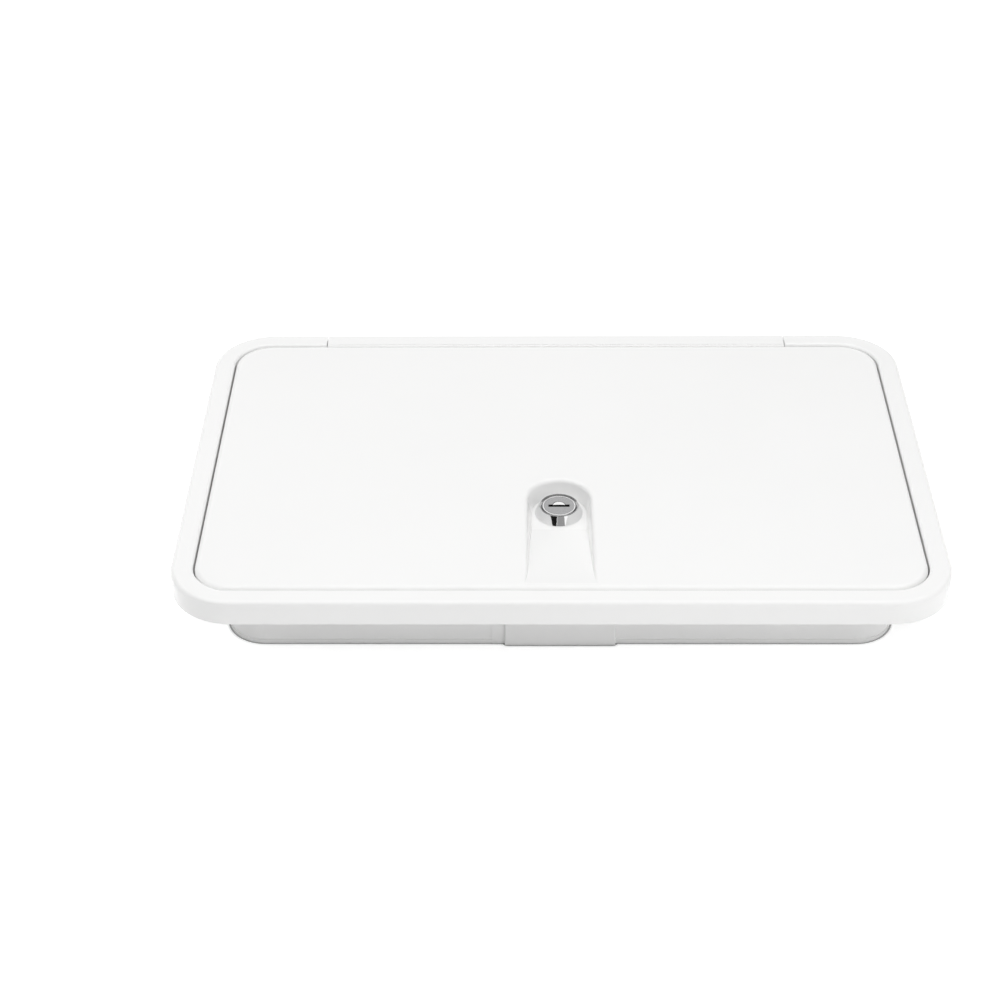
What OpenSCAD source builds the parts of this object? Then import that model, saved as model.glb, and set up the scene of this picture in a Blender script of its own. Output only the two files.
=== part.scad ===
// Power cord hatch for a caravan wall: a flanged frame with a locking lid.
// It lies face up. +Z is the outward side, -Y the opening edge, +Y the hinge edge.
// The origin is in the middle of the plane of the collar's bottom edge.

/* [Flange] */
// Width of the flange, left to right
frame_w = 388; // [300:1:460]
// Depth of the flange, opening edge to hinge edge
frame_d = 252; // [210:1:320]
// Corner radius of the flange, seen from above
frame_corner_r = 32; // [28:0.5:40]
// Width of the rim between the outer edge and the lid's recess
rim_w = 11.2; // [10.5:0.1:14]
// Height of the rim above the wall
flange_h = 13; // [12:0.5:18]
// Rounding of the rim's outer top edge
rim_edge_r = 2.5; // [1.5:0.1:3]
// Rounding of the rim's inner top edge
rim_inner_r = 1.5; // [0.6:0.1:1.8]
// Wall thickness of the rim
rim_t = 2.5; // [2:0.1:3]
// Thickness of the ledge under the lid
ledge_t = 3; // [2:0.1:4]
// Distance between the webs inside the hollow rim
rim_web_pitch = 34; // [24:1:60]

/* [Collar] */
// Depth of the collar that passes through the wall's cut-out
collar_depth = 32; // [28:1:60]
// Distance from the flange's outer edge to the collar's outer face
collar_set_in = 25; // [24:0.5:30]
// Corner radius of the collar's outer face
collar_corner_r = 20; // [12:0.5:26]
// Wall thickness of the collar
collar_t = 3; // [2:0.1:4]
// Height of the bead round the collar's bottom edge
bead_h = 2.2; // [1:0.1:4]
// How far that bead stands out
bead_out = 0.4; // [0.2:0.1:1.5]

/* [Lid] */
// Gap between the lid's edge and the rim
lid_gap = 0.6; // [0.5:0.1:1.5]
// Thickness of the lid's skin
lid_t = 3; // [2.4:0.1:4]
// Height of the lid's edge wall, from the top face down
lid_edge_h = 8; // [6:0.1:9]
// Thickness of that edge wall
lid_edge_t = 2.5; // [2:0.1:3]
// Rounding of the lid's top edge
lid_edge_r = 3; // [1.5:0.1:4]
// Height of the stiffening ribs under the skin
rib_h = 3.5; // [2:0.1:4.5]
// Thickness of the ribs
rib_t = 2; // [1.2:0.1:3]
// Distance between neighbouring ribs
rib_pitch = 42; // [30:1:60]

/* [Hinge] */
// Distance from each side of the flange to the end of the hinge strip
strip_from_side = 62.6; // [50:0.1:80]
// Gap between each end of the strip and the rim
strip_gap = 0.6; // [0.3:0.1:1]
// Distance from the rear edge to the hinge axis
hinge_set_in = 4.6; // [4.2:0.1:5]
// Distance from the top face down to the hinge axis
hinge_drop = 3.5; // [3.4:0.1:4.4]
// Diameter of the hinge pins
pin_d = 3.5; // [2.5:0.1:4]
// Length of each pin inside the rim
pin_in_rim = 12; // [8:0.5:20]
// Length of each pin inside the strip
pin_in_strip = 14; // [8:0.5:20]
// Radial running clearance between pin and strip
pin_play = 0.05; // [0.02:0.01:0.09]
// Length of the solid knuckle at each end of the strip
knuckle_len = 20; // [18:0.5:30]
// Wall thickness of the strip between its knuckles
strip_t = 2; // [1.6:0.1:2.4]
// Distance between the webs inside the strip
web_pitch = 37; // [25:1:60]

/* [Lock] */
// Distance from the flange's front edge to the lock's axis
lock_from_front = 88; // [75:0.5:92]
// Radius of the recess round the lock, at the lid's face
recess_r = 16.7; // [15.5:0.1:19]
// Lean of the recess's wall, in degrees
recess_draft = 14; // [3:1:16]
// Depth of the recess at the lock
recess_depth = 9.5; // [7:0.1:11]
// Distance from the lid's front edge to the line where the ramp runs out
ramp_end = 4.5; // [4:0.5:12]
// Rounding of the recess's upper edge
recess_lip_r = 2.4; // [0.6:0.1:2.4]
// Diameter of the rosette at its foot
rosette_foot_d = 25; // [24:0.5:28]
// Diameter of the rosette at its top
rosette_top_d = 20; // [19.8:0.1:22]
// Height of the rosette
rosette_h = 5.2; // [4.4:0.1:7]
// Diameter of the plug's face
plug_face_d = 17.2; // [15:0.1:17.4]
// Diameter of the plug's shaft
plug_shaft_d = 13; // [11:0.1:14]
// Radial running clearance of the plug
plug_play = 0.08; // [0.03:0.01:0.09]
// Diameter of the lock's barrel
barrel_d = 19; // [18:0.1:21]
// Distance across the two flats of the barrel
barrel_flats = 16.5; // [15.5:0.1:17.5]
// Length of the barrel below the recess's floor
barrel_len = 14; // [12:0.5:18]
// Width of the groove between the plug's face and the rosette
face_groove_w = 0.3; // [0.1:0.05:0.4]
// Width of the keyway
keyway_w = 11; // [8:0.1:12]
// Height of the keyway
keyway_h = 2; // [1.4:0.1:2.6]
// Depth of the keyway
keyway_depth = 10; // [6:0.5:14]

/* [Cam and keeper] */
// Thickness of the cam
cam_t = 2.2; // [1.6:0.1:3]
// Width of the cam at its tip
cam_w = 12; // [9:0.5:14]
// Radius of the cam round the plug
cam_hub_r = 9; // [8:0.5:11]
// How far the cam reaches into the collar's wall when locked
cam_hold = 2.1; // [1:0.1:2.4]
// Side of the square end of the plug
square_side = 8; // [6:0.1:9]
// Width of the keeper on the collar's front
keeper_w = 56; // [54:0.5:70]
// Thickness of the keeper's plate
keeper_t = 2; // [1.5:0.1:3]
// Gap between the keeper's top and the back of the flange
keeper_drop = 3; // [2.5:0.5:8]
// Rounding of the keeper's front edges
keeper_r = 0.8; // [0.4:0.1:1.2]
// Width of the band beside the keeper
band_w = 6.4; // [4:0.1:10]
// How far that band stands out
band_out = 0.5; // [0.2:0.1:0.8]

/* [Seal and screws] */
// Width of the seal
seal_w = 5; // [3.5:0.1:5.5]
// Diameter of the fixing screws' holes
screw_hole_d = 4.2; // [3:0.1:5]
// Diameter of the countersinks
screw_head_d = 8; // [6.5:0.1:9]
// Distance from the rim's inner wall to the screws
screw_from_rim = 5.8; // [5:0.1:6.6]
// Distance from each side of the flange to the screws of the long sides
screw_from_side = 44; // [38:1:80]
// Width of the ridge that keeps the seal in place
ridge_w = 1; // [0.8:0.1:1.2]
// Height of that ridge
ridge_h = 1.2; // [0.6:0.1:1.6]

/* [Hidden] */
$fn = 96;

// Heights, from the collar's bottom edge up
wall_z = collar_depth;
top_z = wall_z + flange_h;
ledge_z = wall_z + ledge_t;
skin_z = top_z - lid_t;
rib_z = skin_z - rib_h;

// Plan sizes of the lid and of the opening inside the collar
lid_set_in = rim_w + lid_gap;
lid_w = frame_w - 2 * lid_set_in;
lid_d = frame_d - 2 * lid_set_in;
lid_corner_r = frame_corner_r - lid_set_in;
collar_w = frame_w - 2 * collar_set_in;
collar_d = frame_d - 2 * collar_set_in;

// Hinge
strip_len = frame_w - 2 * strip_from_side;
hinge_y = frame_d / 2 - hinge_set_in;
hinge_z = top_z - hinge_drop;
notch_half = strip_len / 2 + strip_gap;
pin_fit = 0.02;
pin_chamfer = 0.4;

// Lock
lock_y = -frame_d / 2 + lock_from_front;
floor_z = top_z - recess_depth;
recess_shell = 2.5;
ramp_start = 2;
barrel_foot_z = floor_z - barrel_len;
barrel_head_h = 2;
plug_face_drop = 0.5;
plug_edge = 0.35;
rosette_bevel = 0.8;
rim_web_t = 1.6;
plug_head_z = floor_z + barrel_head_h + 0.1;
plug_face_z = floor_z + rosette_h - plug_face_drop;
fit_play = 0.05;
nut_h = 3.5;
nut_flats = 24;
cam_gap = 0.3;
cam_z = barrel_foot_z - cam_gap - cam_t;
plug_end_z = cam_z - 0.2;
screw_head_h = 2.6;
washer_h = 1;
screw_len = 6;
screw_d = 5;

// Keeper window in the collar's front wall
collar_front_y = -collar_d / 2;
window_half = keeper_w / 2 - 3;
window_top_z = cam_z + cam_t + 5;
window_foot_z = cam_z - 5;
hook_t = 1.8;
hook_play = 0.2;

// Seal, on the ledge over the collar's wall
seal_set_in = collar_set_in + collar_t - seal_w;
seal_corner_r = collar_corner_r + collar_set_in - seal_set_in;
seal_play = 0.3;
seal_w_out = frame_w - 2 * seal_set_in;
seal_d_out = frame_d - 2 * seal_set_in;
ridge_gap = 0.2;
ridge_out = ridge_gap + ridge_w;
seal_h = rib_z - seal_play - ledge_z;

// Margin by which a cutter passes through a face
over = 1;

white = [0.96, 0.96, 0.95];
chrome = [0.8, 0.8, 0.82];
steel = [0.62, 0.63, 0.65];
black = [0.08, 0.08, 0.08];

// Rectangle with round corners, centred
module plan(w, d, r) {
    square([w - 2 * r, d], center = true);
    square([w, d - 2 * r], center = true);
    for (sx = [-1, 1], sy = [-1, 1])
        translate([sx * (w / 2 - r), sy * (d / 2 - r)])
            circle(r);
}

// Closed wall that follows a rounded rectangle
module plan_ring(w, d, r, t) {
    difference() {
        plan(w, d, r);
        plan(w - 2 * t, d - 2 * t, r - t);
    }
}

// Sweeps a section round a rounded rectangle. In the section x = 0 is the outer edge,
// x is negative towards the middle, and y is the height.
module sweep_round(w, d, r) {
    for (side = [0:3]) {
        run = side % 2 == 0 ? d - 2 * r : w - 2 * r;
        reach = side % 2 == 0 ? w / 2 : d / 2;
        rotate([0, 0, 90 * side]) {
            translate([reach, run / 2, 0])
                rotate([90, 0, 0])
                    linear_extrude(run)
                        children();
            translate([reach - r, run / 2, 0])
                rotate_extrude(angle = 90)
                    translate([r, 0])
                        children();
        }
    }
}

// Box given by its lowest and highest corners
module box(low, high) {
    translate(low)
        cube(high - low);
}

// Prism along X from an outline in the YZ plane, centred
module prism_x(length) {
    translate([-length / 2, 0, 0])
        rotate([90, 0, 90])
            linear_extrude(length)
                children();
}

// Section of the rim: a channel, open towards the wall, with rounded top edges
module rim_section() {
    difference() {
        union() {
            translate([-rim_w, wall_z])
                square([rim_w, flange_h - rim_edge_r]);
            translate([-rim_w + rim_inner_r, wall_z])
                square([rim_w - rim_inner_r - rim_edge_r, flange_h]);
            translate([-rim_w, wall_z])
                square([rim_w / 2, flange_h - rim_inner_r]);
            translate([-rim_edge_r, top_z - rim_edge_r])
                circle(rim_edge_r);
            translate([-rim_w + rim_inner_r, top_z - rim_inner_r])
                circle(rim_inner_r);
        }
        translate([-rim_w + rim_t, wall_z - over])
            square([rim_w - 2 * rim_t, flange_h - rim_t + over]);
    }
}

// Gap in the rear rim that the hinge strip fills
module hinge_notch() {
    box([-notch_half, frame_d / 2 - rim_w - over, wall_z - over],
        [notch_half, frame_d / 2 + over, top_z + over]);
}

// Webs between the rim's two walls, along one side, held back from the wall by one rim thickness
module rim_webs(reach, run) {
    last = floor(run / 2 / rim_web_pitch);
    for (i = [-last:last])
        box([reach - rim_w + rim_t / 2, i * rim_web_pitch - rim_web_t / 2, wall_z + rim_t],
            [reach - rim_t / 2, i * rim_web_pitch + rim_web_t / 2, top_z - rim_t / 2]);
}

module hinge_boss(side) {
    inner_x = side * notch_half;
    outer_x = side * (notch_half + pin_in_rim + rim_t);
    box([min(inner_x, outer_x), frame_d / 2 - rim_w + rim_t / 2, wall_z],
        [max(inner_x, outer_x), frame_d / 2 - rim_t / 2, top_z - rim_t / 2]);
}

// Cylinder along X from one place to another
module rod_x(x0, x1, d) {
    translate([min(x0, x1), hinge_y, hinge_z])
        rotate([0, 90, 0])
            cylinder(d = d, h = abs(x1 - x0));
}

// Centres of the six fixing screws
screw_inset = rim_w + screw_from_rim;
screw_span_y = frame_d - 2 * screw_inset;
screw_ends_x = frame_w - 2 * screw_inset;
screw_span_x = frame_w - 2 * screw_from_side;
screw_places = concat(
    [for (sx = [-1, 1], sy = [-1, 1]) [sx * screw_span_x / 2, sy * screw_span_y / 2]],
    [for (sx = [-1, 1]) [sx * screw_ends_x / 2, 0]]);

module screw_hole(place) {
    sink_h = (screw_head_d - screw_hole_d) / 2;
    translate([place[0], place[1], wall_z - over])
        cylinder(d = screw_hole_d, h = ledge_t + 2 * over);
    translate([place[0], place[1], ledge_z - sink_h])
        cylinder(d1 = screw_hole_d, d2 = screw_head_d, h = sink_h);
    translate([place[0], place[1], ledge_z])
        cylinder(d = screw_head_d, h = over);
}

module frame() color(white) {
    difference() {
        union() {
            difference() {
                sweep_round(frame_w, frame_d, frame_corner_r) rim_section();
                hinge_notch();
            }
            translate([0, 0, wall_z])
                linear_extrude(ledge_t)
                    difference() {
                        plan(frame_w - 2 * (rim_w - rim_t), frame_d - 2 * (rim_w - rim_t),
                             frame_corner_r - rim_w + rim_t);
                        plan(collar_w - 2 * collar_t, collar_d - 2 * collar_t,
                             collar_corner_r - collar_t);
                    }
            linear_extrude(ledge_z)
                plan_ring(collar_w, collar_d, collar_corner_r, collar_t);
            linear_extrude(bead_h)
                plan_ring(collar_w + 2 * bead_out, collar_d + 2 * bead_out,
                          collar_corner_r + bead_out, bead_out + collar_t / 2);
            // Ridge along the outer side of the seal
            translate([0, 0, wall_z])
                linear_extrude(ledge_t + ridge_h)
                    plan_ring(seal_w_out + 2 * ridge_out, seal_d_out + 2 * ridge_out,
                              seal_corner_r + ridge_out, ridge_w);
            // Ledge carried on to the rear edge under the hinge strip
            box([-notch_half, frame_d / 2 - rim_w - over, wall_z],
                [notch_half, frame_d / 2, ledge_z]);
            for (side = [-1, 1])
                hinge_boss(side);
            for (turn = [0, 180])
                rotate([0, 0, turn])
                    rim_webs(frame_w / 2, frame_d - 2 * frame_corner_r);
            rotate([0, 0, -90])
                rim_webs(frame_d / 2, frame_w - 2 * frame_corner_r);
            // Flat band beside the keeper
            box([-keeper_w / 2 - band_w, collar_front_y - band_out, 0],
                [-keeper_w / 2, collar_front_y + collar_t / 2, wall_z]);
        }
        for (side = [-1, 1])
            rod_x(side * (notch_half - over), side * (notch_half + pin_in_rim), pin_d + 2 * pin_fit);
        for (place = screw_places)
            screw_hole(place);
        // Bead cut away behind the keeper
        box([-keeper_w / 2, collar_front_y - bead_out - over, -over],
            [keeper_w / 2, collar_front_y, bead_h + over]);
        box([-window_half, collar_front_y - over, window_foot_z],
            [window_half, collar_front_y + collar_t + over, window_top_z]);
    }
}

// Plate over the window in the collar's front, with a hook at each end of the window
module latch_keeper() color(white) {
    linear_extrude(wall_z - keeper_drop)
        intersection() {
            translate([0, collar_front_y])
                plan(keeper_w, 2 * keeper_t, keeper_r);
            translate([-keeper_w / 2, collar_front_y - keeper_t])
                square([keeper_w, keeper_t]);
        }
    for (side = [-1, 1]) {
        outer_x = side * (window_half - hook_play);
        inner_x = side * (window_half - hook_play - hook_t);
        box([min(outer_x, inner_x), collar_front_y - keeper_t / 2, window_foot_z + hook_play],
            [max(outer_x, inner_x), collar_front_y + collar_t, window_top_z - hook_play]);
    }
}

module seal_section() {
    crown_r = min(seal_w / 2, seal_h);
    translate([-seal_w, ledge_z])
        square([seal_w, seal_h - crown_r / 2]);
    translate([-seal_w / 2 - crown_r / 2, ledge_z])
        square([crown_r, seal_h]);
    for (side = [-1, 1])
        translate([-seal_w / 2 + side * (seal_w / 2 - crown_r / 2), ledge_z + seal_h - crown_r / 2])
            circle(crown_r / 2);
}

module seal() color(black) {
    sweep_round(seal_w_out, seal_d_out, seal_corner_r)
        seal_section();
}

module hinge_pin(side) {
    pin_len = pin_in_strip + strip_gap + pin_in_rim;
    pin_r = pin_d / 2;
    mirror([side < 0 ? 1 : 0, 0, 0])
        translate([notch_half + pin_in_rim - pin_len, hinge_y, hinge_z])
            rotate([0, 90, 0])
                rotate_extrude()
                    polygon([[0, 0],
                             [pin_r - pin_chamfer, 0],
                             [pin_r, pin_chamfer],
                             [pin_r, pin_len - pin_chamfer],
                             [pin_r - pin_chamfer, pin_len],
                             [0, pin_len]]);
}

module hinge_pin_left() color(steel) {
    hinge_pin(-1);
}

module hinge_pin_right() color(steel) {
    hinge_pin(1);
}

// Section of the lid's edge: a wall with a rounded top edge, and the skin's outer band
module lid_edge_section() {
    band = lid_edge_t + lid_edge_r;
    translate([-lid_edge_t, top_z - lid_edge_h])
        square([lid_edge_t, lid_edge_h - lid_edge_r]);
    difference() {
        union() {
            translate([-band, skin_z])
                square([band - lid_edge_r, lid_t]);
            translate([-lid_edge_r, top_z - lid_edge_r])
                circle(lid_edge_r);
            translate([-band, top_z - lid_edge_r])
                square([band, lid_edge_r / 2]);
        }
        translate([-band - over, top_z - lid_edge_h - lid_edge_r])
            square([band + over - lid_edge_t, lid_edge_h + lid_edge_r - lid_t]);
        corner_cut();
    }
}

// What lies outside the quarter circle of the lid's top edge
module corner_cut() {
    difference() {
        translate([-lid_edge_r, top_z - lid_edge_r])
            square([lid_edge_r + over, lid_edge_r + over]);
        translate([-lid_edge_r, top_z - lid_edge_r])
            circle(lid_edge_r);
    }
}

// Section of the hinge strip: a barrel round the pin with a flat top and a rounded rear edge
module strip_section() {
    rear_y = hinge_y + hinge_set_in;
    web_y = frame_d / 2 - lid_set_in - lid_edge_t / 2;
    difference() {
        translate([hinge_y, hinge_z])
            circle(hinge_set_in);
        translate([hinge_y - hinge_set_in - over, top_z])
            square([2 * hinge_set_in + 2 * over, hinge_set_in]);
    }
    translate([web_y, skin_z])
        square([hinge_y - web_y, lid_t]);
    translate([hinge_y, hinge_z])
        square([hinge_set_in, hinge_drop - rim_edge_r]);
    translate([hinge_y, hinge_z])
        square([hinge_set_in - rim_edge_r, hinge_drop]);
    translate([rear_y - rim_edge_r, top_z - rim_edge_r])
        circle(rim_edge_r);
}

// Side view of what lies over the ramp, let down by drop
module ramp_outline(drop) {
    foot_y = lock_y - rosette_foot_d / 2 - ramp_start;
    ramp_run = foot_y + lid_d / 2 - ramp_end;
    rise = recess_depth + 2 * over;
    foot_z = floor_z - drop;
    polygon([[lock_y + over, foot_z + rise],
             [lock_y + over, foot_z],
             [foot_y, foot_z],
             [foot_y - ramp_run * rise / recess_depth, foot_z + rise]]);
}

// Distance of the recess's wall from the middle at a height, with the wall moved out by shell
function recess_wall(z, shell) = recess_r - (top_z - z) * tan(recess_draft) + shell;

// Half section of the recess: a leaning wall with a rounded upper edge
module recess_section() {
    lip_x = recess_r + recess_lip_r * (1 - sin(recess_draft)) / cos(recess_draft);
    lip_z = top_z - recess_lip_r;
    wall_end_z = lip_z + recess_lip_r * sin(recess_draft);
    difference() {
        polygon([[0, top_z + over],
                 [0, floor_z],
                 [recess_wall(floor_z, 0), floor_z],
                 [recess_wall(wall_end_z, 0), wall_end_z],
                 [lip_x, wall_end_z],
                 [lip_x, top_z + over]]);
        translate([lip_x, lip_z])
            circle(recess_lip_r);
    }
}

module recess_space() {
    // Round end behind the lock
    translate([0, lock_y, 0])
        rotate_extrude(angle = 180)
            recess_section();
    // Straight part, with its floor rising to the lid's face
    intersection() {
        translate([0, lock_y, 0])
            rotate([90, 0, 0])
                linear_extrude(lid_d)
                    for (side = [0, 1])
                        mirror([side, 0])
                            recess_section();
        prism_x(3 * recess_r)
            ramp_outline(0);
    }
}

module tub_section() {
    foot_x = recess_wall(floor_z - lid_t, recess_shell);
    face_x = recess_wall(top_z, recess_shell);
    polygon([[-foot_x, floor_z - lid_t],
             [foot_x, floor_z - lid_t],
             [face_x, top_z],
             [-face_x, top_z]]);
}

module recess_tub() {
    tub_top_z = top_z - lid_t / 2;
    intersection() {
        union() {
            translate([0, lock_y, floor_z - lid_t])
                cylinder(r1 = recess_wall(floor_z - lid_t, recess_shell),
                         r2 = recess_wall(top_z, recess_shell), h = recess_depth + lid_t);
            intersection() {
                prism_x(3 * recess_r)
                    ramp_outline(lid_t);
                translate([0, lock_y, 0])
                    rotate([90, 0, 0])
                        linear_extrude(lid_d)
                            tub_section();
            }
        }
        box([-lid_w / 2, -lid_d / 2 + lid_edge_t / 2, 0],
            [lid_w / 2, lid_d / 2, tub_top_z]);
    }
}

// Hole for the barrel, with its two flats
module barrel_outline(play) {
    intersection() {
        circle(d = barrel_d + 2 * play);
        square([barrel_flats + 2 * play, barrel_d + 4 * play], center = true);
    }
}

module lid_ribs() {
    rib_set_in = collar_set_in + collar_t / 2 - rib_t;
    ring_w = frame_w - 2 * rib_set_in;
    ring_d = frame_d - 2 * rib_set_in;
    ring_r = collar_corner_r + collar_set_in - rib_set_in;
    last_x = floor((ring_w / 2 - rib_t) / rib_pitch);
    last_y = floor((ring_d / 2 - rib_t) / rib_pitch);
    translate([0, 0, rib_z])
        linear_extrude(rib_h + lid_t / 2) {
            plan_ring(ring_w, ring_d, ring_r, rib_t);
            for (i = [-last_x:last_x])
                if (abs(i) > 0)
                    translate([i * rib_pitch, 0])
                        square([rib_t, ring_d - rib_t], center = true);
            for (j = [-last_y:last_y])
                if (abs(j * rib_pitch - lock_y) > recess_r + nut_flats / 2)
                    translate([0, j * rib_pitch])
                        square([ring_w - rib_t, rib_t], center = true);
        }
}

// Hollows in the underside of the strip, between its knuckles, with webs left between them
module strip_cores() {
    core_half = hinge_set_in - strip_t;
    span = strip_len - 2 * knuckle_len;
    cells = max(1, round(span / web_pitch));
    cell_len = (span - (cells - 1) * strip_t) / cells;
    for (i = [0:cells - 1])
        translate([-span / 2 + cell_len / 2 + i * (cell_len + strip_t), 0, 0])
            box([-cell_len / 2, hinge_y - core_half, hinge_z - hinge_set_in - over],
                [cell_len / 2, hinge_y + core_half, top_z - strip_t]);
}

module lid_panel() color(white) {
    core_in = lid_edge_t + lid_edge_r / 2;
    groove_r = 0.5;
    difference() {
        union() {
            sweep_round(lid_w, lid_d, lid_corner_r)
                lid_edge_section();
            translate([0, 0, skin_z])
                linear_extrude(lid_t)
                    plan(lid_w - 2 * core_in, lid_d - 2 * core_in, lid_corner_r - core_in);
            prism_x(strip_len)
                strip_section();
            lid_ribs();
            recess_tub();
        }
        recess_space();
        strip_cores();
        translate([0, lock_y, floor_z - lid_t - over])
            linear_extrude(lid_t + 2 * over)
                barrel_outline(fit_play);
        for (side = [-1, 1])
            rod_x(side * (notch_half + over), side * (notch_half - strip_gap - pin_in_strip - over),
                  pin_d + 2 * pin_play);
        // Soft groove between lid and strip
        translate([0, frame_d / 2 - lid_set_in + lid_gap / 2, top_z])
            rotate([0, 90, 0])
                cylinder(r = groove_r, h = strip_len + 2 * over, center = true);
    }
}

module lock_rosette() color(chrome) {
    bore_low_r = barrel_d / 2 + fit_play;
    bore_top_r = plug_face_d / 2 + face_groove_w;
    translate([0, lock_y, floor_z])
        rotate_extrude()
            polygon([[bore_low_r, 0],
                     [rosette_foot_d / 2, 0],
                     [rosette_foot_d / 2, 0.5],
                     [rosette_top_d / 2 + 0.2, rosette_h - 0.2],
                     [rosette_top_d / 2, rosette_h],
                     [rosette_top_d / 2 - 0.2, rosette_h],
                     [bore_top_r + 0.2, rosette_h - rosette_bevel],
                     [bore_top_r, rosette_h - rosette_bevel - 0.2],
                     [bore_top_r, barrel_head_h + 0.05],
                     [bore_low_r, barrel_head_h + 0.05]]);
}

module lock_barrel() color(steel) {
    translate([0, lock_y, 0])
        difference() {
            union() {
                translate([0, 0, barrel_foot_z])
                    linear_extrude(barrel_len)
                        barrel_outline(0);
                translate([0, 0, floor_z])
                    cylinder(d = barrel_d, h = barrel_head_h);
            }
            translate([0, 0, barrel_foot_z - over])
                cylinder(d = plug_shaft_d + 2 * plug_play, h = barrel_len + barrel_head_h + 2 * over);
        }
}

module lock_nut() color(steel) {
    translate([0, lock_y, floor_z - lid_t - nut_h])
        difference() {
            intersection() {
                cylinder(d = nut_flats / cos(30), h = nut_h, $fn = 6);
                cylinder(d1 = nut_flats, d2 = nut_flats + 4 * nut_h, h = nut_h);
            }
            translate([0, 0, -over])
                cylinder(d = barrel_d + 2 * fit_play, h = nut_h + 2 * over);
        }
}

module lock_plug() color(chrome) {
    translate([0, lock_y, 0])
        difference() {
            union() {
                translate([0, 0, plug_head_z])
                    cylinder(d = plug_face_d, h = plug_face_z - plug_head_z - plug_edge);
                translate([0, 0, plug_face_z - plug_edge])
                    cylinder(d1 = plug_face_d, d2 = plug_face_d - 2 * plug_edge, h = plug_edge);
                translate([0, 0, barrel_foot_z - cam_gap / 2])
                    cylinder(d = plug_shaft_d, h = plug_head_z - barrel_foot_z + cam_gap / 2 + 0.5);
                translate([0, 0, plug_end_z])
                    linear_extrude(barrel_foot_z - plug_end_z)
                        square(square_side, center = true);
            }
            translate([0, 0, plug_face_z - keyway_depth])
                linear_extrude(keyway_depth + over)
                    square([keyway_w, keyway_h], center = true);
            translate([0, 0, plug_face_z - shutter_pocket])
                linear_extrude(shutter_pocket + over)
                    shutter_outline(fit_play);
            translate([0, 0, plug_end_z - over])
                cylinder(d = screw_d + 2 * pin_fit, h = screw_len + over);
        }
}

// Half disc behind the keyway, where the dust shutter shows
shutter_r = 3.2;
shutter_t = 1;
shutter_pocket = 1.4;
module shutter_outline(play) {
    intersection() {
        translate([0, keyway_h / 2 - 0.2])
            circle(shutter_r + play);
        translate([-shutter_r - over, keyway_h / 2 - 0.2 - play])
            square([2 * shutter_r + 2 * over, shutter_r + over]);
    }
}

module keyway_shutter() color(chrome) {
    translate([0, lock_y, plug_face_z - shutter_pocket])
        linear_extrude(shutter_t)
            shutter_outline(0);
}

// Flat arm on the square end of the plug. It points to the right when unlocked.
module lock_cam() color(steel) {
    cam_len = abs(collar_front_y - lock_y) - collar_t + cam_hold;
    translate([0, lock_y, cam_z])
        linear_extrude(cam_t)
            difference() {
                union() {
                    circle(cam_hub_r);
                    translate([0, -cam_w / 2])
                        square([cam_len - cam_w / 2, cam_w]);
                    translate([cam_len - cam_w / 2, 0])
                        circle(d = cam_w);
                }
                square(square_side + 2 * fit_play, center = true);
            }
}

module cam_screw() color(steel) {
    translate([0, lock_y, plug_end_z - washer_h])
        cylinder(d = cam_hub_r * 1.5, h = washer_h);
    translate([0, lock_y, plug_end_z - washer_h - screw_head_h])
        difference() {
            cylinder(d = screw_d * 1.8, h = screw_head_h);
            translate([0, 0, -over])
                cylinder(d = screw_d * 0.9, h = screw_head_h / 2 + over, $fn = 6);
        }
    translate([0, lock_y, plug_end_z - washer_h])
        cylinder(d = screw_d, h = washer_h + screw_len - 0.5);
}

frame();
latch_keeper();
seal();
hinge_pin_left();
hinge_pin_right();
lid_panel();
lock_rosette();
lock_barrel();
lock_nut();
lock_plug();
keyway_shutter();
lock_cam();
cam_screw();
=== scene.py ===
"""Looks of the power cord hatch: finishes, small turned and moulded details, light and camera.

Lengths are in metres, and small ones are written as millimetres times MM. The hatch lies face up on the
floor. Azimuths run from its front towards its right and elevations up from the floor, both in degrees.
"""

import math

import bmesh
import bpy
from mathutils import Matrix, Vector


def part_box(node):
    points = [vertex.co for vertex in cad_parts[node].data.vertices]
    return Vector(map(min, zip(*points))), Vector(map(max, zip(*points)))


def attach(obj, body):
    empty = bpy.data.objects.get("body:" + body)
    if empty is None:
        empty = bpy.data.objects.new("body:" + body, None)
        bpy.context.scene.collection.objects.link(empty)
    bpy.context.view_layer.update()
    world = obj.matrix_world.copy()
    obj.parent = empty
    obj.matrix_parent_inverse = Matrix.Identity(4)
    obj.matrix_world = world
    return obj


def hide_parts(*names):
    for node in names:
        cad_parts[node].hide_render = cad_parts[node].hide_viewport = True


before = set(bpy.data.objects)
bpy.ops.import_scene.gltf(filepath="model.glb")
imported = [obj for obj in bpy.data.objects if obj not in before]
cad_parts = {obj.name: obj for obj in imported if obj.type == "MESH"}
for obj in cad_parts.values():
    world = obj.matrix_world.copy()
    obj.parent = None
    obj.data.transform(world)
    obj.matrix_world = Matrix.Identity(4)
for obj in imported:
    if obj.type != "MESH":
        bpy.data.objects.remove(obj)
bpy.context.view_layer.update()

MM = 0.001

# Places and sizes of the solids that the pieces below are fitted to
ROSETTE_LOW, ROSETTE_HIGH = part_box("lock_rosette")
PLUG_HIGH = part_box("lock_plug")[1]
BARREL_LOW, BARREL_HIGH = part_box("lock_barrel")
SHUTTER_LOW, SHUTTER_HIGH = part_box("keyway_shutter")
NUT_FOOT_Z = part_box("lock_nut")[0][2]
TOP_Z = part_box("lid_panel")[1][2]
LOCK_Y = (ROSETTE_LOW[1] + ROSETTE_HIGH[1]) / 2

# Sizes from the part's source that don't show in a solid's box
LID_SKIN = 3 * MM
RIB_PITCH = 42 * MM
BARREL_FLATS = 16.5 * MM
CONE_TOP_R = 10.2 * MM

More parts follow.
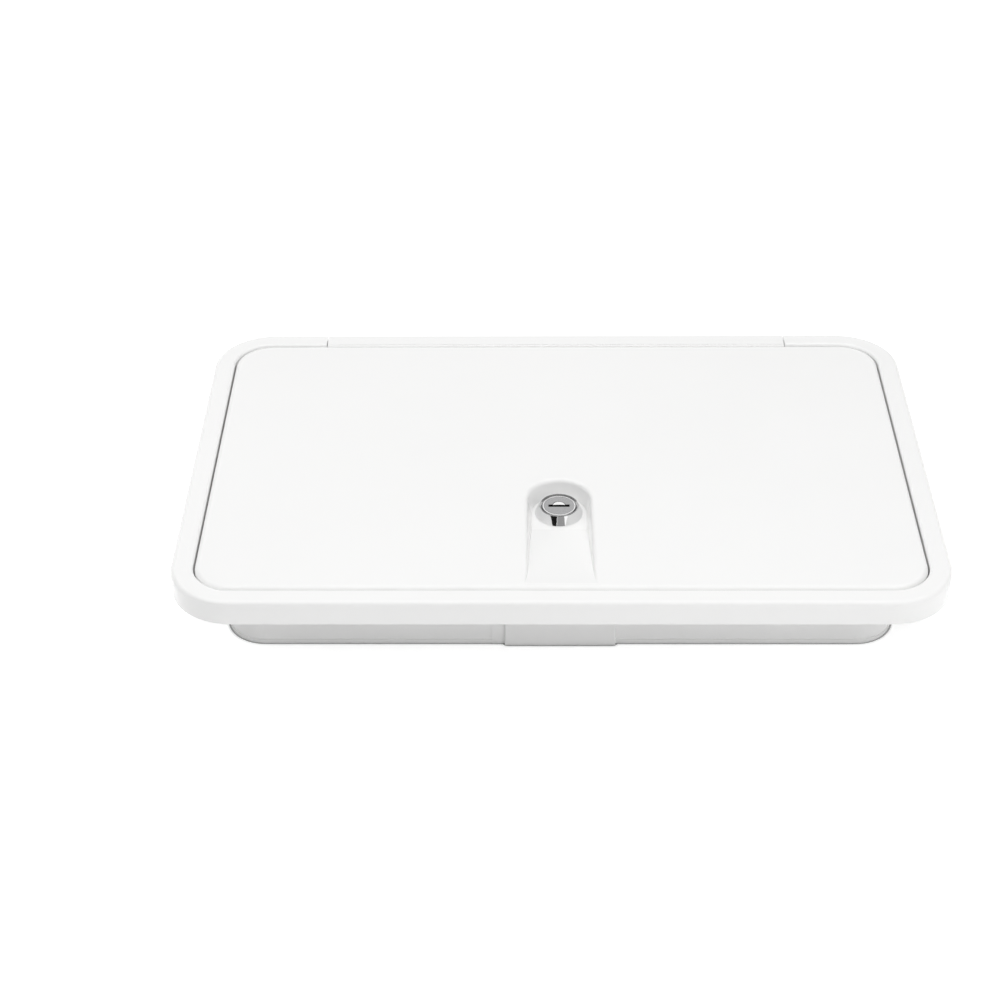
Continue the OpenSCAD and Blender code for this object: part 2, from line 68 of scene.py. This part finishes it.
# Camera, from a fit to the flange's corners, its edges and the lock
CAMERA_FOCAL_PX = 2123
CAMERA_PITCH = 35.46
CAMERA_YAW = -0.819
CAMERA_ROLL = -0.512
CAMERA_X, CAMERA_Y = -17.8 * MM, -934.2 * MM
CAMERA_ABOVE_LID = 637.2 * MM
PHOTO_PX = 1000
SENSOR_MM = 36

# Diffuse light from the white world, which is shown at full strength
SKY_DIFFUSE = 0.25

# Depth of the scratches in polished plating
HAIRLINE_DEPTH = 0.0015 * MM

# Floor: its size and paint, the glow that lights the hatch, the glow that shows within FLOOR_NEAR of the
# hatch and beyond FLOOR_FAR, and the width and sharpness of the painted contact shadow where something
# touches it
FLOOR_SIZE = 30
FLOOR_PAINT = 0.9
FLOOR_BOUNCE = 0.02
FLOOR_LIFT, FLOOR_LIFT_FAR = 0.5, 1
FLOOR_NEAR, FLOOR_FAR = 0.8, 1.8
FLOOR_PAINTED_SHADOW_REACH = 1.4 * MM
FLOOR_PAINTED_SHADOW_POWER = 3.0

# Soft boxes: name, azimuth, elevation, distance from the middle of the hatch, width and height, watts
SOFT_BOXES = (
    ("box_left", -80, 38, 1.3, (1.2, 0.9), 4.1),
    ("box_top", 180, 80, 1.5, (1.4, 1.4), 11.7),
    ("box_front", 40, 42, 1.25, (1.0, 0.6), 2.6),
    ("box_low", 45, 10, 1.3, (1.0, 0.4), 2.5),
    ("box_high", 10, 62, 1.3, (1.2, 0.8), 1.6),
)

# Cards that only mirror-like surfaces see: name, azimuth, elevation, distance from the lock, width and
# height, grey
CARDS = (
    ("card_dark", -38, 18, 0.95, (0.92, 0.62), 0.01),
    ("card_grey", 9, 18, 1.0, (0.62, 0.62), 0.3),
    ("card_above", 0, 52, 1.0, (2.6, 0.4), 0.22),
    ("card_right", 86, 30, 1.1, (1.7, 0.66), 0.2),
    ("card_left", -86, 30, 1.1, (1.7, 0.66), 0.2),
)

WHITE = (0.945, 0.945, 0.94)
STEEL = (0.62, 0.62, 0.63)


class Graph:
    """The nodes of a material or of the world, built one call at a time."""

    def __init__(self, owner, output="ShaderNodeOutputMaterial"):
        owner.use_nodes = True
        self.owner = owner
        self.tree = owner.node_tree
        self.tree.nodes.clear()
        self.output = self.tree.nodes.new(output)

    def add(self, kind, inputs=None, **settings):
        """A node with its settings, whose inputs are linked sockets or plain values."""
        node = self.tree.nodes.new(kind)
        for key, value in settings.items():
            setattr(node, key, value)
        for key, value in (inputs or {}).items():
            if isinstance(value, bpy.types.NodeSocket):
                self.tree.links.new(value, node.inputs[key])
            else:
                node.inputs[key].default_value = value
        return node

    def place(self, scale=(1, 1, 1), shift=(0, 0, 0)):
        """Coordinates of the object, in metres, scaled per axis and shifted."""
        coords = self.add("ShaderNodeTexCoord").outputs["Object"]
        mapping = {"Vector": coords, "Scale": scale, "Location": shift}
        return self.add("ShaderNodeMapping", mapping).outputs["Vector"]

    def noise(self, vector, scale, detail, roughness=0.5):
        """Noise with scale features to the metre."""
        inputs = {"Vector": vector, "Scale": scale, "Detail": detail, "Roughness": roughness}
        return self.add("ShaderNodeTexNoise", inputs).outputs["Fac"]

    def spread(self, value, low, high, from_low=0.3, from_high=0.7):
        """Maps a range of value, by default the middle range of a noise, to low and high."""
        inputs = {"Value": value, "From Min": from_low, "From Max": from_high, "To Min": low, "To Max": high}
        return self.add("ShaderNodeMapRange", inputs).outputs["Result"]

    def blend(self, factor, low, high):
        """Value between low and high, by a factor from 0 to 1."""
        return self.spread(factor, low, high, from_low=0, from_high=1)

    def calculate(self, operation, first, second):
        return self.add("ShaderNodeMath", {0: first, 1: second}, operation=operation).outputs[0]

    def length(self, vector):
        return self.add("ShaderNodeVectorMath", {0: vector}, operation="LENGTH").outputs["Value"]

    def tint(self, factor, first, second):
        """Colour between two colours."""
        mix = self.add("ShaderNodeMix", data_type="RGBA")
        self.tree.links.new(factor, mix.inputs[0])
        mix.inputs[6].default_value = (*first, 1)
        mix.inputs[7].default_value = (*second, 1)
        return mix.outputs[2]

    def mottled(self, texture, colour, darkest):
        """Colour that falls to its darkest share where the texture is low."""
        return self.tint(self.spread(texture, 0, 1), shade(colour, darkest), colour)

    def bump(self, height, distance):
        return self.add("ShaderNodeBump", {"Height": height, "Distance": distance}).outputs["Normal"]

    def glow(self, strength):
        inputs = {"Color": (1, 1, 1, 1), "Strength": strength}
        return self.add("ShaderNodeEmission", inputs).outputs["Emission"]

    def backdrop(self):
        """1 for rays that see the background: those of the camera, and mirrored and refracted ones."""
        rays = self.add("ShaderNodeLightPath").outputs
        seen = self.calculate("MAXIMUM", rays["Is Camera Ray"], rays["Is Glossy Ray"])
        return self.calculate("MAXIMUM", seen, rays["Is Transmission Ray"])

    def surface(self, socket):
        """Ends the graph in that shader and returns the material or world."""
        self.tree.links.new(socket, self.output.inputs["Surface"])
        return self.owner

    def principled(self, inputs):
        return self.surface(self.add("ShaderNodeBsdfPrincipled", inputs).outputs["BSDF"])


def shade(colour, factor):
    return tuple(channel * factor for channel in colour)


def material_graph(name):
    return Graph(bpy.data.materials.new(name))


def moulded_plastic(name, colour, gloss, peel):
    """Glossy injection-moulded plastic: faint cloudiness and the long shallow waves of a polished mould."""
    graph = material_graph(name)
    place = graph.place()
    clouds = graph.noise(place, scale=14, detail=3)
    dull_patches = graph.noise(place, scale=70, detail=3)
    waves = graph.noise(place, scale=300, detail=1)
    return graph.principled({
        "Base Color": graph.mottled(clouds, colour, darkest=0.988),
        "Roughness": graph.spread(dull_patches, gloss * 0.85, gloss * 1.2),
        "Normal": graph.bump(waves, peel),
        "IOR": 1.5,
        "Coat Weight": 0.25,
        "Coat Roughness": 0.08,
    })


def hairlines(graph):
    """Fine scratches of polished plating."""
    return graph.noise(graph.place(scale=(1, 12, 1)), scale=900, detail=4, roughness=0.6)


def bright_chrome(name, colour, rough):
    """Bright plating: almost a mirror, with hairline scratches and a slight haze."""
    graph = material_graph(name)
    scratches = hairlines(graph)
    haze = graph.noise(graph.place(), scale=300, detail=2)
    return graph.principled({
        "Base Color": graph.mottled(haze, colour, darkest=0.97),
        "Metallic": 1.0,
        "Roughness": graph.spread(scratches, rough * 0.6, rough * 1.6),
        "Normal": graph.bump(scratches, HAIRLINE_DEPTH),
    })


def ring_chrome(name, colour, rough, satin_r, painted_dark_reflection, satin_rough):
    """Bright plating on the cone of the lock's ring, and on its top, inside satin_r, a satin finish whose
    colour is darkened as a painted dark reflection.
    """
    graph = material_graph(name)
    scratches = hairlines(graph)
    blur = 0.03 * MM
    radius = graph.length(graph.place(scale=(1, 1, 0), shift=(0, -LOCK_Y, 0)))
    on_cone = graph.spread(radius, 0, 1, satin_r - blur, satin_r + blur)
    bright = graph.spread(scratches, rough * 0.6, rough * 1.6)
    return graph.principled({
        # The top's colour is darkened by a share: a painted dark reflection, on top of its real satin
        # roughness
        "Base Color": graph.tint(on_cone, shade(colour, painted_dark_reflection), colour),
        "Metallic": 1.0,
        "Roughness": graph.blend(on_cone, satin_rough, bright),
        "Normal": graph.bump(scratches, HAIRLINE_DEPTH),
    })


def turned_metal(name, colour, rough, pitch, axis):
    """Turned metal: fine grooves, as rings round the lock's axis (axis Z) or as bands along X."""
    graph = material_graph(name)
    about_lock = axis == "Z"
    place = graph.place(shift=(0, -LOCK_Y, 0) if about_lock else (0, 0, 0))
    wave_scale = math.pi / (10 * pitch)
    grooves = graph.add("ShaderNodeTexWave",
                        {"Vector": place, "Scale": wave_scale, "Distortion": 0.4, "Detail": 2.0},
                        wave_type="RINGS" if about_lock else "BANDS",
                        rings_direction="Z", bands_direction="X").outputs["Fac"]
    patches = graph.noise(graph.place(), scale=500, detail=3)
    return graph.principled({
        "Base Color": graph.mottled(patches, colour, darkest=0.92),
        "Metallic": 1.0,
        "Roughness": graph.blend(grooves, rough * 0.85, rough * 1.15),
        "Normal": graph.bump(grooves, distance=0.004 * MM),
    })


def cast_zinc(name, colour, rough):
    """Die-cast zinc: dull, lightly mottled."""
    graph = material_graph(name)
    place = graph.place()
    mottle = graph.noise(place, scale=700, detail=5, roughness=0.65)
    dull_patches = graph.noise(place, scale=260, detail=3)
    return graph.principled({
        "Base Color": graph.mottled(mottle, colour, darkest=0.8),
        "Metallic": 1.0,
        "Roughness": graph.spread(dull_patches, rough * 0.8, rough * 1.2),
        "Normal": graph.bump(mottle, distance=0.02 * MM),
    })


def rolled_steel(name, colour, rough):
    """Zinc-plated sheet with a rolled grain along X."""
    graph = material_graph(name)
    grain = graph.noise(graph.place(scale=(1, 14, 14)), scale=260, detail=5, roughness=0.6)
    patches = graph.noise(graph.place(), scale=160, detail=3)
    return graph.principled({
        "Base Color": graph.mottled(patches, colour, darkest=0.86),
        "Metallic": 1.0,
        "Roughness": graph.spread(grain, rough * 0.8, rough * 1.25),
        "Normal": graph.bump(grain, distance=0.004 * MM),
    })


def foam_rubber(name, colour):
    """Closed-cell foam rubber: matt and dusty, with small pores."""
    graph = material_graph(name)
    place = graph.place()
    pores = graph.add("ShaderNodeTexVoronoi", {"Vector": place, "Scale": 1700}).outputs["Distance"]
    dust = graph.noise(place, scale=350, detail=4)
    return graph.principled({
        "Base Color": graph.tint(graph.spread(dust, 0, 1), colour, shade(colour, 1.7)),
        "Roughness": graph.spread(dust, 0.78, 0.95),
        "Normal": graph.bump(pores, distance=0.12 * MM),
    })


MATERIALS = {
    "frame": moulded_plastic("frame_white", WHITE, gloss=0.2, peel=0.006 * MM),
    "latch_keeper": moulded_plastic("keeper_white", shade(WHITE, 0.985), gloss=0.205, peel=0.008 * MM),
    "seal": foam_rubber("seal_black", (0.035, 0.035, 0.037)),
    "hinge_pin_left": turned_metal("pin_steel", STEEL, rough=0.23, pitch=0.2 * MM, axis="X"),
    "hinge_pin_right": turned_metal("pin_steel_right", STEEL, rough=0.23, pitch=0.2 * MM, axis="X"),
    "lid_panel": moulded_plastic("lid_white", WHITE, gloss=0.18, peel=0.005 * MM),
    # The ring's satin top gets a darker colour as a painted dark reflection
    "lock_rosette": ring_chrome("ring_chrome", (0.95, 0.95, 0.955), rough=0.06,
                                satin_r=CONE_TOP_R + 0.02 * MM, painted_dark_reflection=0.68, satin_rough=0.22),
    "lock_barrel": cast_zinc("barrel_zinc", (0.6, 0.61, 0.62), rough=0.42),
    "lock_nut": cast_zinc("nut_zinc", (0.64, 0.64, 0.64), rough=0.38),
    "lock_plug": turned_metal("plug_satin", (0.43, 0.43, 0.435), rough=0.23, pitch=0.12 * MM, axis="Z"),
    "keyway_shutter": bright_chrome("shutter_bright", (0.96, 0.96, 0.96), rough=0.1),
    "lock_cam": rolled_steel("cam_steel", (0.66, 0.66, 0.66), rough=0.36),
    "cam_screw": cast_zinc("screw_steel", (0.68, 0.68, 0.67), rough=0.36),
}


def dress(node_name, sharp_degrees=28):
    """Gives a node its material, and smooth shading everywhere but at its real edges."""
    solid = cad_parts[node_name]
    solid.data.materials.clear()
    solid.data.materials.append(MATERIALS[node_name])
    solid.data.shade_smooth()
    solid.data.set_sharp_from_angle(angle=math.radians(sharp_degrees))
    solid.modifiers.new("edge_shading", "WEIGHTED_NORMAL").keep_sharp = True


def new_piece(name, vertices, faces, body, material, sharp_degrees=35):
    """A mesh piece that rides on a body."""
    mesh = bpy.data.meshes.new(name)
    mesh.from_pydata(vertices, [], faces)
    shape = bmesh.new()
    shape.from_mesh(mesh)
    bmesh.ops.recalc_face_normals(shape, faces=shape.faces)
    shape.to_mesh(mesh)
    shape.free()
    mesh.shade_smooth()
    mesh.set_sharp_from_angle(angle=math.radians(sharp_degrees))
    mesh.materials.append(material)
    piece = bpy.data.objects.new(name, mesh)
    bpy.context.scene.collection.objects.link(piece)
    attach(piece, body)
    return piece


def band_faces(here, there, size):
    """Faces between two closed rings of size vertices that start at the indices here and there."""
    return [(here + i, here + (i + 1) % size, there + (i + 1) % size, there + i) for i in range(size)]


def lathe(outline, centre, turn=(0, 2 * math.pi), steps=96):
    """Vertices and faces of a closed (radius, height) outline turned about an upright axis through centre.

    A part turn gets an end face at each end.
    """
    whole = abs(turn[1] - turn[0] - 2 * math.pi) < 1e-6
    count = steps if whole else steps + 1
    size = len(outline)
    vertices, faces = [], []
    for step in range(count):
        angle = turn[0] + (turn[1] - turn[0]) * step / steps
        for radius, height in outline:
            x, y = radius * math.cos(angle), radius * math.sin(angle)
            vertices.append((centre[0] + x, centre[1] + y, height))
    for step in range(steps):
        faces += band_faces(step * size, (step + 1) % count * size, size)
    if not whole:
        faces.append(tuple(range(size)))
        faces.append(tuple(range(steps * size, count * size)))
    return vertices, faces


def barrel_thread():
    """Thread on the round sides of the lock's barrel, below the nut, cut off at the barrel's flats."""
    pitch, depth, sunk = 1.0 * MM, 0.42 * MM, 0.1 * MM
    half_root, half_crest = 0.38 * pitch, 0.08 * pitch
    end_gap, nut_gap = 0.6 * MM, 0.2 * MM
    low, high = BARREL_LOW[2] + end_gap, NUT_FOOT_Z - nut_gap
    barrel_r, flat_half = (BARREL_HIGH[0] - BARREL_LOW[0]) / 2, BARREL_FLATS / 2
    root_r, crest_r = barrel_r - sunk, barrel_r + depth
    tooth = ((root_r, -half_root), (crest_r, -half_crest), (crest_r, half_crest), (root_r, half_root))
    half_angle = math.asin(flat_half / barrel_r)
    turns, steps, size = int((high - low) / pitch), 28, len(tooth)
    vertices, faces = [], []
    for side in (0, 1):
        middle = math.pi / 2 + math.pi * side
        for turn in range(turns):
            base = low + pitch * (turn + 0.5 * side)
            start = len(vertices)
            for step in range(steps + 1):
                angle = middle + half_angle * (2 * step / steps - 1)
                rise = pitch * (angle - middle) / (2 * math.pi)
                for radius, height in tooth:
                    x = max(-flat_half, min(flat_half, radius * math.cos(angle)))
                    vertices.append((x, LOCK_Y + radius * math.sin(angle), base + rise + height))
            for step in range(steps):
                faces += band_faces(start + size * step, start + size * (step + 1), size)
            end = start + size * steps
            faces += [tuple(range(start, start + size)), tuple(range(end, end + size))]
    new_piece("barrel_thread", vertices, faces, "lid", MATERIALS["lock_barrel"])


def shutter_dome():
    """The bright domed dust shutter behind the keyway, in place of the flat half disc."""
    radius = (SHUTTER_HIGH[0] - SHUTTER_LOW[0]) / 2
    foot = SHUTTER_LOW[2]
    edge, crown = SHUTTER_HIGH[2] + 0.15 * MM, SHUTTER_HIGH[2] + 0.45 * MM
    arc_steps, turn_steps = 8, 40
    outline = [(0, foot), (radius, foot), (radius, edge)]
    for step in range(1, arc_steps + 1):
        angle = math.pi / 2 * step / arc_steps
        outline.append((radius * math.cos(angle), edge + (crown - edge) * math.sin(angle)))
    vertices, faces = lathe(outline, (0, SHUTTER_LOW[1]), turn=(0, math.pi), steps=turn_steps)
    piece = new_piece("shutter_dome", vertices, faces, "lock", MATERIALS["keyway_shutter"])
    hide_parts("keyway_shutter")


def plug_rim():
    """The polished bead round the plug's satin face."""
    bead, points = 0.32 * MM, 12
    bead_r, bead_z = PLUG_HIGH[0] - bead, PLUG_HIGH[2] - 0.4 * bead
    angles = [2 * math.pi * point / points for point in range(points)]
    outline = [(bead_r + bead * math.cos(angle), bead_z + bead * math.sin(angle)) for angle in angles]
    vertices, faces = lathe(outline, (0, LOCK_Y))
    new_piece("plug_rim", vertices, faces, "lock", MATERIALS["keyway_shutter"],
              sharp_degrees=60)


def ejector_marks():
    """Rings that the mould's ejector pins leave on the underside of the lid, between its ribs."""
    inner_r, outer_r, bevel, sunk = 2.5 * MM, 3.2 * MM, 0.2 * MM, 0.3 * MM
    skin_z = TOP_Z - LID_SKIN
    step_z, face_z = skin_z - 0.08 * MM, skin_z - 0.16 * MM
    outline = [(inner_r, skin_z + sunk), (inner_r, step_z), (inner_r + bevel, face_z),
               (outer_r - bevel, face_z), (outer_r, step_z), (outer_r, skin_z + sunk)]
    columns, rows = (-3.5, -2.5, -1.5, 1.5, 2.5, 3.5), (-1.5, 0.5, 1.5)
    vertices, faces = [], []
    for column in columns:
        for row in rows:
            ring_vertices, ring_faces = lathe(outline, (column * RIB_PITCH, row * RIB_PITCH), steps=32)
            faces += [tuple(index + len(vertices) for index in face) for face in ring_faces]
            vertices += ring_vertices
    new_piece("lid_ejector_marks", vertices, faces, "lid", MATERIALS["lid_panel"])


def make_floor():
    """Plain white floor that keeps the shadow of the hatch and has a painted contact shadow where something
    touches it.

    Seen directly it is lifted to white, most where it lies far from the lamps.
    """
    graph = material_graph("floor_white")
    seen_lift = graph.spread(graph.length(graph.place()), FLOOR_LIFT, FLOOR_LIFT_FAR, FLOOR_NEAR, FLOOR_FAR)
    lift = graph.blend(graph.backdrop(), FLOOR_BOUNCE, seen_lift)
    # Painted contact shadow: ambient occlusion darkens the floor's paint and glow close to the hatch
    open_share = graph.add("ShaderNodeAmbientOcclusion", {"Distance": FLOOR_PAINTED_SHADOW_REACH}, samples=8).outputs["AO"]
    painted_contact_shadow = graph.calculate("POWER", open_share, FLOOR_PAINTED_SHADOW_POWER)
    paint = graph.add("ShaderNodeBsdfDiffuse", {"Color": graph.calculate("MULTIPLY", painted_contact_shadow, FLOOR_PAINT)})
    glow = graph.glow(graph.calculate("MULTIPLY", lift, painted_contact_shadow))
    both = graph.add("ShaderNodeAddShader", {0: paint.outputs["BSDF"], 1: glow})
    bpy.ops.mesh.primitive_plane_add(size=FLOOR_SIZE, location=(0, 0, 0))
    floor = bpy.context.object
    floor.name = "floor"
    floor.data.materials.append(graph.surface(both.outputs[0]))


def make_sky():
    """White world. It lights the object less than it shows."""
    graph = Graph(bpy.data.worlds.new("studio"), "ShaderNodeOutputWorld")
    strength = graph.blend(graph.backdrop(), SKY_DIFFUSE, 1)
    sky = graph.add("ShaderNodeBackground", {"Color": (1, 1, 1, 1), "Strength": strength})
    bpy.context.scene.world = graph.surface(sky.outputs["Background"])


def direction(azimuth, elevation):
    """Unit vector towards an azimuth and elevation."""
    around, above = math.radians(azimuth), math.radians(elevation)
    return Vector((math.sin(around) * math.cos(above), -math.cos(around) * math.cos(above), math.sin(above)))


def hang(thing, target, azimuth, elevation, distance):
    """Puts a lamp or card in the scene, out of the camera's sight and facing its target."""
    aim = direction(azimuth, elevation)
    thing.location = target + aim * distance
    thing.rotation_euler = aim.to_track_quat("Z", "Y").to_euler()
    thing.visible_camera = False
    bpy.context.scene.collection.objects.link(thing)


def make_soft_box(name, azimuth, elevation, distance, size, watts):
    """Large soft light that no mirror shows."""
    light = bpy.data.lights.new(name, "AREA")
    light.shape = "RECTANGLE"
    light.size, light.size_y = size
    light.energy = watts
    lamp = bpy.data.objects.new(name, light)
    lamp.visible_glossy = False
    hang(lamp, Vector((0, 0, 0)), azimuth, elevation, distance)


def make_card(name, azimuth, elevation, distance, size, grey):
    """Card that faces the lock and that only mirrors see."""
    graph = material_graph(name)
    plain = graph.add("ShaderNodeEmission", {"Color": (grey, grey, grey, 1), "Strength": 1.0})
    x, y = size[0] / 2, size[1] / 2
    mesh = bpy.data.meshes.new(name)
    mesh.from_pydata([(-x, -y, 0), (x, -y, 0), (x, y, 0), (-x, y, 0)], [], [(0, 1, 2, 3)])
    mesh.materials.append(graph.surface(plain.outputs["Emission"]))
    card = bpy.data.objects.new(name, mesh)
    card.visible_diffuse = False
    card.visible_shadow = False
    hang(card, Vector((0, LOCK_Y, TOP_Z)), azimuth, elevation, distance)


def make_camera():
    """Camera at the photograph's place, with its angle of view."""
    yaw, pitch, roll = (math.radians(value) for value in (CAMERA_YAW, CAMERA_PITCH, CAMERA_ROLL))
    forward = Vector((math.sin(yaw) * math.cos(pitch), math.cos(yaw) * math.cos(pitch), -math.sin(pitch)))
    level = Vector((math.cos(yaw), -math.sin(yaw), 0))
    upward = level.cross(forward)
    right = level * math.cos(roll) + upward * math.sin(roll)
    up = upward * math.cos(roll) - level * math.sin(roll)
    data = bpy.data.cameras.new("camera")
    data.sensor_width = SENSOR_MM
    data.lens = CAMERA_FOCAL_PX * SENSOR_MM / PHOTO_PX
    camera = bpy.data.objects.new("camera", data)
    turn = Matrix((right, up, -forward)).transposed().to_4x4()
    camera.matrix_world = Matrix.Translation((CAMERA_X, CAMERA_Y, TOP_Z + CAMERA_ABOVE_LID)) @ turn
    bpy.context.scene.collection.objects.link(camera)
    bpy.context.scene.camera = camera


for node_name in MATERIALS:
    dress(node_name)

barrel_thread()
shutter_dome()
plug_rim()
ejector_marks()

make_floor()
make_sky()
for soft_box in SOFT_BOXES:
    make_soft_box(*soft_box)
for card in CARDS:
    make_card(*card)
make_camera()

bpy.context.scene.view_settings.view_transform = "Standard"
